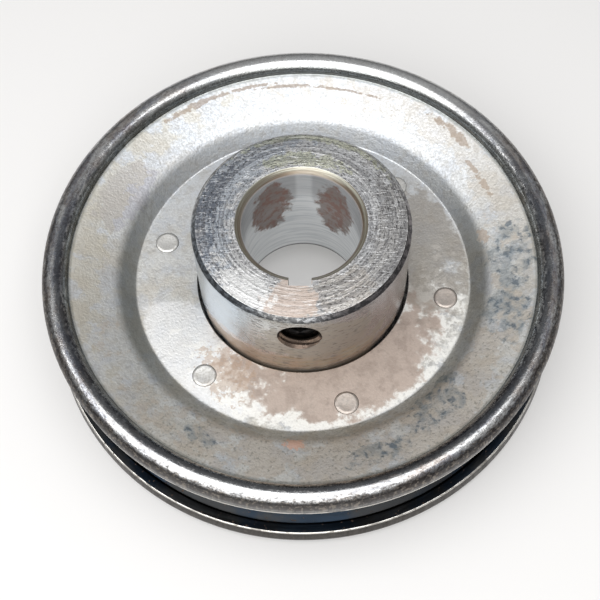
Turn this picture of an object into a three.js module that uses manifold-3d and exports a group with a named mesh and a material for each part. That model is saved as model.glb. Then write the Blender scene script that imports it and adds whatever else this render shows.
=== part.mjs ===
// V-belt pulley: two pressed-steel sheave halves riveted back to back and welded to a turned hub.
// Units are millimetres and +Z is up. The pulley lies on the rim of its rear half: the origin is on
// the bore's axis, at the level of that rim, and the long end of the hub points up.

import * as THREE from "three";
import { mergeVertices } from "three/addons/utils/BufferGeometryUtils.js";
import Module from "manifold-3d";

// ---------------------------------------------------------------- driving dimensions

// Sheave halves: one pressing, used twice.
const SHEET = 2.4; // sheet steel thickness
const RIM_R = 57.5; // outside radius, a 4 1/2 in class pulley
const BEAD_R = 2.8; // outer radius of the rolled rim bead
const BEAD_AXIS_H = 9.6; // height of the bead's centre above the joint between the halves
const LIP_H = 6.65; // height of the bead's cut edge above the joint: half the belt opening
const LIP_INSET = 0.35; // how far the cut edge lies inside the outside radius
const LIP_WALL = 2.1; // thickness of the bead's skirt at its cut edge
const LIP_ROUND = 0.25; // worn corner of the cut edge, towards the outside
const LIP_BURR = 0.1; // small corner of the cut edge, towards the axis
const SLIT = 0.5; // gap that stays inside the rolled bead
const GROOVE_ANGLE = 18.5; // each groove wall leans this many degrees from flat
const STEP_ANGLE = 46; // slope of the step from the web up to the groove wall
const WEB_R = 37.8; // radius of the flat web, at the foot of the step
const STEP_FILLET = 6.0; // bend radius over the top of the step, outer face
const FOOT_FILLET = 0.6; // bend radius at the foot of the step, outer face
const WEB_HOLE_R = 23.85; // radius of the hole that the hub passes through

// Hub.
const HUB_R = 23.3;
const HUB_L = 31.75; // 1 1/4 in
const HUB_ABOVE_WEB = 23.3; // from the front web's outer face up to the hub's face
const HUB_CHAMFER = 0.95;
const BORE_R = 12.7; // 1 in bore
const BORE_CHAMFER = 1.35;
const KEY_W = 4.76; // 3/16 in keyway
const KEY_FLOOR_R = 15.1; // from the bore's axis to the keyway's floor

// Set screw and its hole: 3/8-16 thread, drawn plain close to its crests.
const SCREW_BELOW_FACE = 7.6; // from the hub's face down to the hole's axis
const SCREW_HOLE_R = 4.76;
const SCREW_MOUTH_R = 5.1; // countersink at the hub's surface
const SCREW_R = 4.45;
const SCREW_L = 6.35; // 1/4 in long
const SCREW_RECESS = 2.65; // from the hub's surface in to the screw's face
const SCREW_CHAMFER = 0.5;
const SCREW_POINT_L = 1.3; // length of the tapered cup point
const SCREW_SOCKET_AF = 4.76; // 3/16 in socket, across its flats
const SCREW_SOCKET_DEPTH = 3.6;
const SCREW_CUP_R = 2.3; // rim of the cup point
const SCREW_CUP_LAND = 0.2; // flat width of that rim
const SCREW_CUP_DEPTH = 1.0;

// Rivets: flush at both ends, set by hand, so their angles aren't quite even.
const RIVET_ANGLES = [49, 107, 165, 230, 288, 351]; // degrees from +X
const RIVET_CIRCLE_R = 32.5;
const RIVET_R = 2.6;
const RIVET_DOME = 0.25; // how far a rivet's end stands proud of the web
const RIVET_EDGE = 0.2; // chamfer round each end
const RIVET_GAP = 0.15; // clearance that the set rivet leaves in its hole

// Weld between the hub and the rear half.
const WELD_LEG = 3.2;
const WELD_GAP = 0.1; // keeps the weld's solid clear of the steel that it joins
const WELD_BULGE = 0.22; // how far the weld's face bows out past a straight 45 degree fillet, in legs

const LATHE_SEGMENTS = 64;
const SMALL_SEGMENTS = 24;

// ---------------------------------------------------------------- derived heights

const RAD = Math.PI / 180;
const JOINT_Z = BEAD_AXIS_H + BEAD_R; // the plane where the two halves meet
const WEB_TOP_Z = JOINT_Z + SHEET;
const WEB_BOTTOM_Z = JOINT_Z - SHEET;
const HUB_TOP_Z = WEB_TOP_Z + HUB_ABOVE_WEB;
const HUB_BOTTOM_Z = HUB_TOP_Z - HUB_L;
const SCREW_Z = HUB_TOP_Z - SCREW_BELOW_FACE;

// ---------------------------------------------------------------- materials

function steel(color, roughness) {
  return new THREE.MeshStandardMaterial({ color, roughness, metalness: 1.0 });
}

const plated = steel(0xb9b8b0, 0.35);
const turned = steel(0xa7a5a0, 0.3);
const blackOxide = steel(0x23211f, 0.45);
const rivetSteel = steel(0xb4b2aa, 0.4);
const weldSteel = steel(0x8d8a84, 0.5);

// ---------------------------------------------------------------- solids

const wasm = await Module();
wasm.setup();

// Turns a closed three.js geometry into a solid that can be cut and joined.
function solid(geometry) {
  const bare = geometry.clone();
  bare.deleteAttribute("normal");
  bare.deleteAttribute("uv");
  const merged = mergeVertices(bare, 1e-5);
  return new wasm.Manifold(new wasm.Mesh({
    numProp: 3,
    vertProperties: new Float32Array(merged.attributes.position.array),
    triVerts: new Uint32Array(merged.index.array),
  }));
}

function geometryOf(manifold) {
  const mesh = manifold.getMesh();
  const geometry = new THREE.BufferGeometry();
  geometry.setAttribute("position", new THREE.BufferAttribute(mesh.vertProperties, 3));
  geometry.setIndex(new THREE.BufferAttribute(mesh.triVerts, 1));
  geometry.computeVertexNormals();
  return geometry;
}

// Spins an outline of [radius, height] points around +Z. The outline runs anticlockwise in the
// radius-height plane, so that the faces point out.
function latheZ(outline, segments = LATHE_SEGMENTS) {
  const points = outline.map(([r, z]) => new THREE.Vector2(r, z));
  points.push(points[0].clone());
  return new THREE.LatheGeometry(points, segments).rotateX(Math.PI / 2);
}

// Points of an arc around a centre, from one angle to another, in degrees.
function arc(r, z, radius, from, to, steps) {
  const points = [];
  for (let i = 0; i <= steps; i++) {
    const a = (from + ((to - from) * i) / steps) * RAD;
    points.push([r + radius * Math.cos(a), z + radius * Math.sin(a)]);
  }
  return points;
}

// ---------------------------------------------------------------- sheave half

// The height of a line at a radius. The line is given by a point and a slope in degrees.
function heightOn([r, z], slope, atR) {
  return z + Math.tan(slope * RAD) * (atR - r);
}

// Where two lines meet, each given by a point and a slope in degrees.
function meet([r1, z1], slope1, [r2, z2], slope2) {
  const t1 = Math.tan(slope1 * RAD);
  const t2 = Math.tan(slope2 * RAD);
  const r = (z2 - z1 + t1 * r1 - t2 * r2) / (t1 - t2);
  return [r, heightOn([r1, z1], slope1, r)];
}

// The outer face's corners: foot of the step, top of the step, and the crease under the bead.
function faceCorners() {
  const foot = [WEB_R, SHEET];
  const crease = [RIM_R - 2 * BEAD_R, BEAD_AXIS_H];
  const top = meet(foot, STEP_ANGLE, crease, GROOVE_ANGLE);
  return { foot, top, crease };
}

// A point moved square to a line of the given slope, towards the groove.
function inward([r, z], slope, distance = SHEET) {
  return [r + distance * Math.sin(slope * RAD), z - distance * Math.cos(slope * RAD)];
}

// Rounds the corner between two slopes. The bend turns left where the second slope is steeper.
function bend(corner, slope1, slope2, radius, steps) {
  const turn = slope2 - slope1;
  const side = Math.sign(turn);
  const tangent = radius * Math.tan((Math.abs(turn) / 2) * RAD);
  const start = [
    corner[0] - tangent * Math.cos(slope1 * RAD),
    corner[1] - tangent * Math.sin(slope1 * RAD),
  ];
  const centre = [
    start[0] - side * radius * Math.sin(slope1 * RAD),
    start[1] + side * radius * Math.cos(slope1 * RAD),
  ];
  return arc(centre[0], centre[1], radius, slope1 - side * 90, slope2 - side * 90, steps);
}

// One pressing, with the joint plane at height 0 and its bead upwards.
function sheaveOutline() {
  const { foot, top, crease } = faceCorners();
  const beadR = RIM_R - BEAD_R;
  const lipR = RIM_R - LIP_INSET;
  const coneUnder = inward(crease, GROOVE_ANGLE);
  const footUnder = meet([0, 0], 0, inward(foot, STEP_ANGLE), STEP_ANGLE);
  const topUnder = meet(inward(foot, STEP_ANGLE), STEP_ANGLE, coneUnder, GROOVE_ANGLE);
  const slitR = lipR - LIP_WALL;
  const slitFoot = [slitR - SLIT, heightOn(coneUnder, GROOVE_ANGLE, slitR - SLIT)];

  const groove = [
    [WEB_HOLE_R, 0],
    ...bend(footUnder, 0, STEP_ANGLE, FOOT_FILLET + SHEET, 2),
    ...bend(topUnder, STEP_ANGLE, GROOVE_ANGLE, STEP_FILLET - SHEET, 2),
    slitFoot,
    ...arc(slitR - SLIT / 2, BEAD_AXIS_H, SLIT / 2, 180, 0, 2),
    [slitR, LIP_H + LIP_BURR],
    [slitR + LIP_BURR, LIP_H],
  ];
  const bead = [
    [lipR - LIP_ROUND, LIP_H],
    [lipR, LIP_H + LIP_ROUND],
    ...arc(beadR, BEAD_AXIS_H, BEAD_R, 0, 180, 10),
  ];
  const face = [
    ...bend(top, STEP_ANGLE, GROOVE_ANGLE, STEP_FILLET, 3).reverse(),
    ...bend(foot, 0, STEP_ANGLE, FOOT_FILLET, 1).reverse(),
    [WEB_HOLE_R, SHEET],
  ];
  return [...groove, ...bead, ...face];
}

function onCircle(radius, degrees) {
  return [radius * Math.cos(degrees * RAD), radius * Math.sin(degrees * RAD)];
}

function cylinderZ(radius, height, segments = SMALL_SEGMENTS) {
  return new THREE.CylinderGeometry(radius, radius, height, segments).rotateX(Math.PI / 2);
}

// Punches the rivet holes. The tool reaches past both faces of either half's web.
function punchRivetHoles(pressing) {
  const tool = solid(cylinderZ(RIVET_R + RIVET_GAP, 3 * SHEET));
  return RIVET_ANGLES.reduce((body, angle) => {
    const [x, y] = onCircle(RIVET_CIRCLE_R, angle);
    return body.subtract(tool.translate([x, y, 0]));
  }, pressing);
}

function frontSheaveGeometry() {
  return geometryOf(punchRivetHoles(solid(latheZ(sheaveOutline()))));
}

// The rear half is the same outline turned over: its heights change sign.
function rearSheaveGeometry() {
  const turnedOver = sheaveOutline().map(([r, z]) => [r, -z]).reverse();
  return geometryOf(punchRivetHoles(solid(latheZ(turnedOver))));
}

// ---------------------------------------------------------------- hub

function hubOutline() {
  return [
    [BORE_R, HUB_BOTTOM_Z + BORE_CHAMFER],
    [BORE_R + BORE_CHAMFER, HUB_BOTTOM_Z],
    [HUB_R - HUB_CHAMFER, HUB_BOTTOM_Z],
    [HUB_R, HUB_BOTTOM_Z + HUB_CHAMFER],
    [HUB_R, HUB_TOP_Z - HUB_CHAMFER],
    [HUB_R - HUB_CHAMFER, HUB_TOP_Z],
    [BORE_R + BORE_CHAMFER, HUB_TOP_Z],
    [BORE_R, HUB_TOP_Z - BORE_CHAMFER],
  ];
}

// A keyway broach along the bore, towards -Y.
function keywayTool() {
  const broach = new THREE.BoxGeometry(KEY_W, KEY_FLOOR_R, 2 * HUB_L);
  return solid(broach.translate(0, -KEY_FLOOR_R / 2, (HUB_TOP_Z + HUB_BOTTOM_Z) / 2));
}

// The tapped hole with its countersink. Its outline is in distance from the bore's axis.
function screwHoleTool() {
  const sink = SCREW_MOUTH_R - SCREW_HOLE_R;
  const past = 1; // the tool starts this far outside the hub
  const drill = latheZ([
    [0, BORE_R / 2],
    [SCREW_HOLE_R, BORE_R / 2],
    [SCREW_HOLE_R, HUB_R - sink],
    [SCREW_MOUTH_R + past, HUB_R + past],
    [0, HUB_R + past],
  ], SMALL_SEGMENTS);
  return solid(drill.rotateX(Math.PI / 2).translate(0, 0, SCREW_Z));
}

function hubGeometry() {
  const blank = solid(latheZ(hubOutline()));
  return geometryOf(blank.subtract(keywayTool()).subtract(screwHoleTool()));
}

// ---------------------------------------------------------------- set screw

// Built along +Z with its socket end up, then turned to point out along -Y.
function setScrewGeometry() {
  const outline = [
    [0, SCREW_CUP_DEPTH],
    [SCREW_CUP_R, 0],
    [SCREW_CUP_R + SCREW_CUP_LAND, 0],
    [SCREW_R, SCREW_POINT_L],
    [SCREW_R, SCREW_L - SCREW_CHAMFER],
    [SCREW_R - SCREW_CHAMFER, SCREW_L],
    [0, SCREW_L],
  ];
  const socketR = SCREW_SOCKET_AF / Math.sqrt(3);
  const socket = solid(cylinderZ(socketR, 2 * SCREW_SOCKET_DEPTH, 6).translate(0, 0, SCREW_L));
  const screw = geometryOf(solid(latheZ(outline, SMALL_SEGMENTS)).subtract(socket));
  return screw.rotateX(Math.PI / 2);
}

// ---------------------------------------------------------------- rivets and weld

function rivetGeometry() {
  const half = SHEET + RIVET_DOME;
  return latheZ([
    [0, -half],
    [RIVET_R - RIVET_EDGE, -half],
    [RIVET_R, -half + RIVET_EDGE],
    [RIVET_R, half - RIVET_EDGE],
    [RIVET_R - RIVET_EDGE, half],
    [0, half],
  ], SMALL_SEGMENTS);
}

// A fillet ring between the hub's side and the rear web's outer face.
function weldGeometry() {
  const inner = HUB_R + WELD_GAP;
  const top = WEB_BOTTOM_Z - WELD_GAP;
  const middle = (0.5 + WELD_BULGE / 2) * WELD_LEG;
  return latheZ([
    [inner, top - WELD_LEG],
    [inner + middle, top - middle],
    [inner + WELD_LEG, top],
    [inner, top],
  ]);
}

// ---------------------------------------------------------------- assembly

function part(name, geometry, material) {
  const mesh = new THREE.Mesh(geometry, material.clone());
  mesh.name = name;
  return mesh;
}

const pulley = new THREE.Group();

const frontSheave = part("front_sheave", frontSheaveGeometry(), plated);
frontSheave.position.z = JOINT_Z;
pulley.add(frontSheave);

const rearSheave = part("rear_sheave", rearSheaveGeometry(), plated);
rearSheave.position.z = JOINT_Z;
pulley.add(rearSheave);

pulley.add(part("hub", hubGeometry(), turned));

const setScrew = part("set_screw", setScrewGeometry(), blackOxide);
setScrew.position.set(0, -(HUB_R - SCREW_RECESS - SCREW_L), SCREW_Z);
pulley.add(setScrew);

RIVET_ANGLES.forEach((angle, i) => {
  const rivet = part(`rivet_${i + 1}`, rivetGeometry(), rivetSteel);
  rivet.position.set(...onCircle(RIVET_CIRCLE_R, angle), JOINT_Z);
  pulley.add(rivet);
});

pulley.add(part("hub_weld", weldGeometry(), weldSteel));

export default pulley;
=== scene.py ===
# %% [markdown]
# # A pressed-steel V-belt pulley
# Two sheet-steel sheave halves are riveted back to back, and a turned hub goes through them. The
# CAD model gives every size and place. This lesson gives each piece its fine shape, and each
# surface the finish that it gets from its own way of being made: zinc plated, pressed, turned,
# threaded, welded and then worn by a belt.

import math

import bmesh
import bpy
from mathutils import Matrix, Vector


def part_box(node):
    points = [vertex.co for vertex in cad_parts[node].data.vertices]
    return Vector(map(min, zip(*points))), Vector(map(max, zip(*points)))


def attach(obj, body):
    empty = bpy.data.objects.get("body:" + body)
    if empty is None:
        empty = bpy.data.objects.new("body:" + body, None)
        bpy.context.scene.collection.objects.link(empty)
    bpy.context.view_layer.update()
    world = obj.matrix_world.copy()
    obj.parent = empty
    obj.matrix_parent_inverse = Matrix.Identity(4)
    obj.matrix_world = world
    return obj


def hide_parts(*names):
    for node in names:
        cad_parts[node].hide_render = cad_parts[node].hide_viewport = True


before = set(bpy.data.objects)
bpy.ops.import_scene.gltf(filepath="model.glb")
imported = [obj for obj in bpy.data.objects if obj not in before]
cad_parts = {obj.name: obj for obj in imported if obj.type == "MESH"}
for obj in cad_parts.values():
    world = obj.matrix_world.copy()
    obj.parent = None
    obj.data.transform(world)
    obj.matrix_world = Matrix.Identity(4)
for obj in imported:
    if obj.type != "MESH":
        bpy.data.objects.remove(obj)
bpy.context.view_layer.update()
MM = 0.001  # one millimetre, in the frame's metres
print("nodes in the frame:", sorted(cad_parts))

# %% [markdown]
# ## Sizes that the frame gives
# A CAD node's box says where the real piece is. Everything below is worked out from these boxes in
# millimetres, because that is how a machinist reads a pulley. A mesh is scaled to metres last.

# %% Measure the frame


def box_mm(node):
    """The lowest and highest corner of a CAD node, in millimetres."""
    low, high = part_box(node)
    return low / MM, high / MM


front_low, front_high = box_mm("front_sheave")
hub_low, hub_high = box_mm("hub")
screw_low, screw_high = box_mm("set_screw")
weld_low, weld_high = box_mm("hub_weld")
RIM_R = front_high.x
JOINT_Z = front_low.z  # the plane where the two halves meet
BEAD_TOP = front_high.z - JOINT_Z
HUB_R = hub_high.x
HUB_BOTTOM, HUB_TOP = hub_low.z, hub_high.z
SCREW_Z = (screw_low.z + screw_high.z) / 2
SCREW_TIP, SCREW_FACE = -screw_high.y, -screw_low.y  # distances from the bore's axis
print(f"rim {RIM_R:.1f} mm, joint at {JOINT_Z:.1f} mm, hub {HUB_BOTTOM:.2f} to {HUB_TOP:.2f} mm")

# %% [markdown]
# A box gives only the outside of a piece. What is inside it, such as the sheet's thickness, a
# wall's slope or the bead's radius, is named here in millimetres. The bore is one inch across,
# its key 3/16 inch wide, and the screw's thread has 16 turns to the inch.

# %% Sizes that the boxes can't give, in millimetres
INCH = 25.4
SHEET = 2.4
BEAD_R = 2.8
WEB_HOLE_R = 23.85
WEB_R = 37.8
STEP_SLOPE = math.radians(46)
GROOVE_SLOPE = math.radians(18.5)
CREASE_R = RIM_R - 2 * BEAD_R
CREASE_H = BEAD_TOP - BEAD_R
LIP_H = 6.65
LIP_R = RIM_R - 0.35
LIP_WALL = 2.1
SLIT = 0.5
BORE_R = INCH / 2
BORE_CHAMFER = 1.35
HUB_CHAMFER = 0.95
KEY_W = 4.76
KEY_FLOOR_R = 15.1
RIVET_R = 2.6
THREAD_PITCH = INCH / 16
print("sheet steel", SHEET, "mm, thread pitch", THREAD_PITCH, "mm")

# %% [markdown]
# ## Camera, floor and light
# The camera looks steeply down from the front with a 72 mm lens, a little to the right of the
# keyway and very slightly tilted, as a hand-held camera is. The floor is plain and pale. A
# wide soft light hangs overhead, and the room gets darker towards the horizon. Bright metal is a
# mirror of its room, so that fall from light to dark is what draws the bead's edge.

# %% Camera
CAMERA_AZIMUTH = math.radians(3.0)
CAMERA_PITCH = math.radians(62.15)
CAMERA_TILT = math.radians(1.97)
CAMERA_DISTANCE = 269.3
CAMERA_AIM = Vector((-0.5, -6.1, JOINT_Z + SHEET))

camera_data = bpy.data.cameras.new("camera")
camera_data.lens = 72.0
camera_data.sensor_width = 36.0
camera_data.clip_start = 0.01
camera_data.clip_end = 20.0
camera = bpy.data.objects.new("camera", camera_data)
bpy.context.scene.collection.objects.link(camera)

sideways = Vector((math.cos(CAMERA_AZIMUTH), math.sin(CAMERA_AZIMUTH), 0.0))
ahead = Vector((-math.sin(CAMERA_AZIMUTH) * math.cos(CAMERA_PITCH),
                math.cos(CAMERA_AZIMUTH) * math.cos(CAMERA_PITCH),
                -math.sin(CAMERA_PITCH)))
upright = sideways.cross(ahead)
right = sideways * math.cos(CAMERA_TILT) - upright * math.sin(CAMERA_TILT)
up = sideways * math.sin(CAMERA_TILT) + upright * math.cos(CAMERA_TILT)
turn = Matrix((right, up, -ahead)).transposed().to_4x4()
camera.matrix_world = Matrix.Translation((CAMERA_AIM - ahead * CAMERA_DISTANCE) * MM) @ turn
bpy.context.scene.camera = camera
bpy.context.scene.view_settings.view_transform = "Standard"
print("camera at", [round(x, 4) for x in camera.location])

# %% [markdown]
# One function turns a hex colour into the linear numbers that a shader needs, and one function
# adds a node with its settings and its links. Every material below is made with just these two.

# %% The two helpers for nodes


def colour(code, alpha=1.0):
    """A hex colour as linear red, green, blue and alpha."""
    parts = [int(code[i:i + 2], 16) / 255 for i in (1, 3, 5)]
    linear = [p / 12.92 if p <= 0.04045 else ((p + 0.055) / 1.055) ** 2.4 for p in parts]
    return (*linear, alpha)


def add(tree, kind, inputs=None, out=0, **settings):
    """Adds a node, sets or links its inputs by name or number, and returns one of its outputs."""
    made = tree.nodes.new(kind)
    for name, value in settings.items():
        setattr(made, name, value)
    for socket, value in (inputs or {}).items():
        if isinstance(value, bpy.types.NodeSocket):
            tree.links.new(value, made.inputs[socket])
        else:
            made.inputs[socket].default_value = value
    return made.outputs[out]


print("white is", [round(c, 3) for c in colour("#FFFFFF")])

# %% [markdown]
# The floor is a sheet of white paper. It has a faint glow, painted light with no lamp behind
# it, so that it isn't dark where it is seen through the bore.

# %% Floor
FLOOR_HALF = 3.0  # half of its side, in metres
PAPER, PAPER_GLOW = "#D4D3D2", "#F4F3F2"
GLOW_STRENGTH = 0.25

floor_shape = bmesh.new()
bmesh.ops.create_grid(floor_shape, x_segments=1, y_segments=1, size=FLOOR_HALF)
floor_mesh = bpy.data.meshes.new("floor")
floor_shape.to_mesh(floor_mesh)
floor_shape.free()
floor = bpy.data.objects.new("floor", floor_mesh)
bpy.context.scene.collection.objects.link(floor)

paper = bpy.data.materials.new("white_paper_sweep")
paper.use_nodes = True
paper_shader = paper.node_tree.nodes["Principled BSDF"]
paper_shader.inputs["Base Color"].default_value = colour(PAPER)
paper_shader.inputs["Roughness"].default_value = 0.9
paper_shader.inputs["Specular IOR Level"].default_value = 0.1
# A faint glow: painted light, with no lamp behind it.
paper_shader.inputs["Emission Color"].default_value = colour(PAPER_GLOW)
paper_shader.inputs["Emission Strength"].default_value = GLOW_STRENGTH
floor_mesh.materials.append(paper)
print("floor is", 2 * FLOOR_HALF, "m across")

# %% [markdown]
# A soft box is a large lit cloth. It hangs close over the pulley, so its light falls off across
# the object and the shadows are soft. The camera doesn't see it, but bright metal mirrors it.

# %% The soft box
BOX_WIDTH, BOX_DEPTH = 0.64, 0.94
BOX_PLACE = (-0.12, -0.38, 0.42)  # a little to the left, and forward round the camera
BOX_POWER = 4.0

box_light = bpy.data.lights.new("soft_box", "AREA")
box_light.shape = "RECTANGLE"
box_light.size = BOX_WIDTH
box_light.size_y = BOX_DEPTH
box_light.energy = BOX_POWER
soft_box = bpy.data.objects.new("soft_box", box_light)
soft_box.location = BOX_PLACE
soft_box.visible_camera = False
bpy.context.scene.collection.objects.link(soft_box)
print(f"soft box of {BOX_WIDTH} by {BOX_DEPTH} m, {BOX_PLACE[2]} m above the floor")

# %% [markdown]
# The room's light is white. A curve says how bright it is at each height of a direction, from 0
# at the horizon to 1 straight up. The camera itself sees a plain, pale backdrop.

# %% The room: darker towards the horizon
ROOM_LIGHT = ((0.0, 0.13), (0.3, 0.23), (0.54, 0.34), (0.75, 0.44), (1.0, 0.52))

world = bpy.data.worlds.new("room")
bpy.context.scene.world = world
world.use_nodes = True
room = world.node_tree
room.nodes.clear()
direction = add(room, "ShaderNodeTexCoord", out="Generated")
height = add(room, "ShaderNodeSeparateXYZ", {0: direction}, out="Z")
dome = add(room, "ShaderNodeFloatCurve", {"Value": height})
dome_curve = dome.node.mapping.curves[0]
for point, (position, level_of_light) in zip(dome_curve.points, (ROOM_LIGHT[0], ROOM_LIGHT[-1])):
    point.location = (position, level_of_light)
for position, level_of_light in ROOM_LIGHT[1:-1]:
    dome_curve.points.new(position, level_of_light)
dome.node.mapping.update()
light = add(room, "ShaderNodeBackground", {"Color": colour("#FFFFFF"), "Strength": dome})
backdrop = add(room, "ShaderNodeBackground", {"Color": colour("#F3F2F2")})
seen = add(room, "ShaderNodeLightPath", out="Is Camera Ray")
both = add(room, "ShaderNodeMixShader", {0: seen, 1: light, 2: backdrop})
room.links.new(both, room.nodes.new("ShaderNodeOutputWorld").inputs["Surface"])
print("the room has", len(ROOM_LIGHT), "levels of light")

# %% [markdown]
# ## Shaping steel with an outline and a spin
# Nearly everything on a pulley is round, so its section says it all. An outline is one flat face
# in the plane of the axis. A vertex bevel rounds each corner to the radius that a press or a lathe
# would leave, and a spin turns the outline into a closed skin.

# %% Outline and spin
ARC_STEP = 9.0  # degrees of bend for each segment of a rounded corner


def outline(corners, rounds):
    """A flat face from (radius, height) corners. rounds says which corners get which radius."""
    shape = bmesh.new()
    points = [shape.verts.new((r, 0.0, z)) for r, z in corners]
    shape.faces.new(points)
    for i, radius in rounds.items():
        here = Vector(corners[i])
        before = Vector(corners[i - 1]) - here
        after = Vector(corners[(i + 1) % len(corners)]) - here
        bend = math.pi - before.angle(after)
        bmesh.ops.bevel(shape, geom=[points[i]], offset=radius * math.tan(bend / 2),
                        offset_type="OFFSET", segments=max(2, round(math.degrees(bend) / ARC_STEP)),
                        profile=0.5, affect="VERTICES", material=-1)
    return shape


def spun(shape, steps):
    """Spins an outline's edges right round the Z axis and closes the skin."""
    on_axis = [e for e in shape.edges if all(abs(v.co.x) < 1e-6 for v in e.verts)]
    bmesh.ops.delete(shape, geom=shape.faces[:], context="FACES_ONLY")
    bmesh.ops.delete(shape, geom=on_axis, context="EDGES")
    bmesh.ops.spin(shape, geom=shape.verts[:] + shape.edges[:], cent=(0, 0, 0), axis=(0, 0, 1),
                   dvec=(0, 0, 0), angle=math.tau, steps=steps, use_merge=True,
                   use_duplicate=False)
    bmesh.ops.remove_doubles(shape, verts=shape.verts[:], dist=1e-5)
    bmesh.ops.recalc_face_normals(shape, faces=shape.faces[:])
    return shape


test = spun(outline([(1, 0), (2, 0), (2, 1), (1, 1)], {2: 0.3}), 12)
print("a test ring has", len(test.faces), "faces")
test.free()

# %% [markdown]
# A piece starts as an object at the origin with its place in its mesh. Cutting tools, such as a
# drill or a broach, are pieces too: a Boolean takes their shape away, and they are thrown out.
# Faces are shaded smooth, and every edge that turns more than 30 degrees stays crisp.

# %% Pieces and cutters
CRISP = math.radians(30)


def to_object(name, shape):
    """Scales a millimetre shape to metres and makes an object of it."""
    bmesh.ops.scale(shape, vec=(MM, MM, MM), verts=shape.verts[:])
    mesh = bpy.data.meshes.new(name)
    shape.to_mesh(mesh)
    shape.free()
    made = bpy.data.objects.new(name, mesh)
    bpy.context.scene.collection.objects.link(made)
    return made


def carve(piece, shape, operation="DIFFERENCE"):
    """Cuts a shape out of a piece, or joins it on, and keeps the result as the piece's mesh."""
    tool = to_object("tool", shape)
    cut = piece.modifiers.new("cut", "BOOLEAN")
    cut.operation = operation
    cut.solver = "EXACT"
    cut.object = tool
    result = piece.evaluated_get(bpy.context.evaluated_depsgraph_get())
    mesh = bpy.data.meshes.new_from_object(result)
    piece.modifiers.clear()
    old, piece.data = piece.data, mesh
    bpy.data.meshes.remove(old)
    tool_mesh = tool.data
    bpy.data.objects.remove(tool)
    bpy.data.meshes.remove(tool_mesh)
    mesh.name = piece.name
    return piece


def finish_piece(piece, body, slot, *nodes):
    """Shades a piece, seats it on its body and lets it stand for its CAD nodes."""
    piece.data.shade_smooth()
    piece.data.set_sharp_from_angle(angle=CRISP)
    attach(piece, body)
    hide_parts(*nodes)
    print(f"{piece.name}: {len(piece.data.vertices)} vertices, stands for {nodes}")
    return piece


# %% [markdown]
# ## The sheave halves
# Each half is a disc of 2.4 mm sheet, pressed in one stroke: a flat web, a step, a groove wall
# that leans 18.5 degrees, and an edge rolled over into a half-round bead. The roll ends in a cut
# edge that faces the other half, with a thin slit behind it. The same outline makes both halves,
# and a mirror turns the rear one over. Heights are counted from the joint between the halves.

# %% The outline of one half
SHEAVE_STEPS = 240


def slide(point, slope, distance):
    """The point at a distance square to a slope, on the groove's side."""
    return point[0] + distance * math.sin(slope), point[1] - distance * math.cos(slope)


def crossing(a, slope_a, b, slope_b):
    """Where the line through a with one slope meets the line through b with another."""
    ta, tb = math.tan(slope_a), math.tan(slope_b)
    r = (b[1] - a[1] + ta * a[0] - tb * b[0]) / (ta - tb)
    return r, a[1] + ta * (r - a[0])


foot = (WEB_R, SHEET)
crease = (CREASE_R, CREASE_H)
step_top = crossing(foot, STEP_SLOPE, crease, GROOVE_SLOPE)
foot_under = crossing((0, 0), 0.0, slide(foot, STEP_SLOPE, SHEET), STEP_SLOPE)
wall_under = slide(crease, GROOVE_SLOPE, SHEET)
top_under = crossing(foot_under, STEP_SLOPE, wall_under, GROOVE_SLOPE)
slit_in, slit_out = LIP_R - LIP_WALL - SLIT, LIP_R - LIP_WALL
slit_foot = crossing(wall_under, GROOVE_SLOPE, (slit_in, 0), math.radians(89.99))

SHEAVE_CORNERS = [
    (WEB_HOLE_R, 0), foot_under, top_under, slit_foot,
    (slit_in, CREASE_H + SLIT / 2), (slit_out, CREASE_H + SLIT / 2),
    (slit_out, LIP_H), (LIP_R, LIP_H), (RIM_R, CREASE_H),
    (RIM_R, BEAD_TOP), (CREASE_R, BEAD_TOP), crease, step_top, foot, (WEB_HOLE_R, SHEET),
]
SHEAVE_ROUNDS = {
    1: 0.6 + SHEET, 2: 6.0 - SHEET, 3: 0.3, 4: 0.24, 5: 0.24, 6: 0.2, 7: 0.3, 8: 3.0,
    9: BEAD_R - 0.02, 10: BEAD_R - 0.02, 11: 0.35, 12: 6.0, 13: 0.6, 14: 0.2, 0: 0.15,
}
print("step from", [round(x, 2) for x in foot], "to", [round(x, 2) for x in step_top])

# %% [markdown]
# Both halves have the same outline. One function spins it, turns it over for the rear half and
# punches the rivet holes, which are where the frame's rivets are.

# %% Spin, turn over and punch
PUNCH_R = RIVET_R + 0.06

rivet_centres = []
for i in range(1, 7):
    low, high = box_mm(f"rivet_{i}")
    rivet_centres.append((low + high) / 2)


def sheave_half(name, side):
    """One half of the sheave. side is 1 for the front half and -1 for the rear half."""
    shape = spun(outline(SHEAVE_CORNERS, SHEAVE_ROUNDS), SHEAVE_STEPS)
    bmesh.ops.scale(shape, vec=(1, 1, side), verts=shape.verts[:])
    bmesh.ops.translate(shape, vec=(0, 0, JOINT_Z), verts=shape.verts[:])
    bmesh.ops.recalc_face_normals(shape, faces=shape.faces[:])
    half = to_object(name, shape)
    for centre in rivet_centres:
        punch = bmesh.new()
        bmesh.ops.create_cone(punch, cap_ends=True, segments=48, radius1=PUNCH_R,
                              radius2=PUNCH_R, depth=4 * SHEET)
        bmesh.ops.translate(punch, vec=centre, verts=punch.verts[:])
        carve(half, punch)
    return half


front_half = sheave_half("front_half", 1)
rear_half = sheave_half("rear_half", -1)
print(len(rivet_centres), "holes of", round(PUNCH_R, 2), "mm radius in each half")

# %% [markdown]
# ## The hub
# The hub is turned from bar: the lathe leaves chamfers at both ends of the bore and the barrel.
# A broach then cuts the keyway, and a tapped hole for the set screw goes in above it. A helical
# thread is a small tooth swept round and along the hole: a spin with a step along its axis.

# %% Tools for the hub
HUB_STEPS = 192
THREAD_MINOR_R = 4.0
THREAD_MAJOR_R = 4.74
THREAD_STEPS = 36  # segments in one turn of thread


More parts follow.
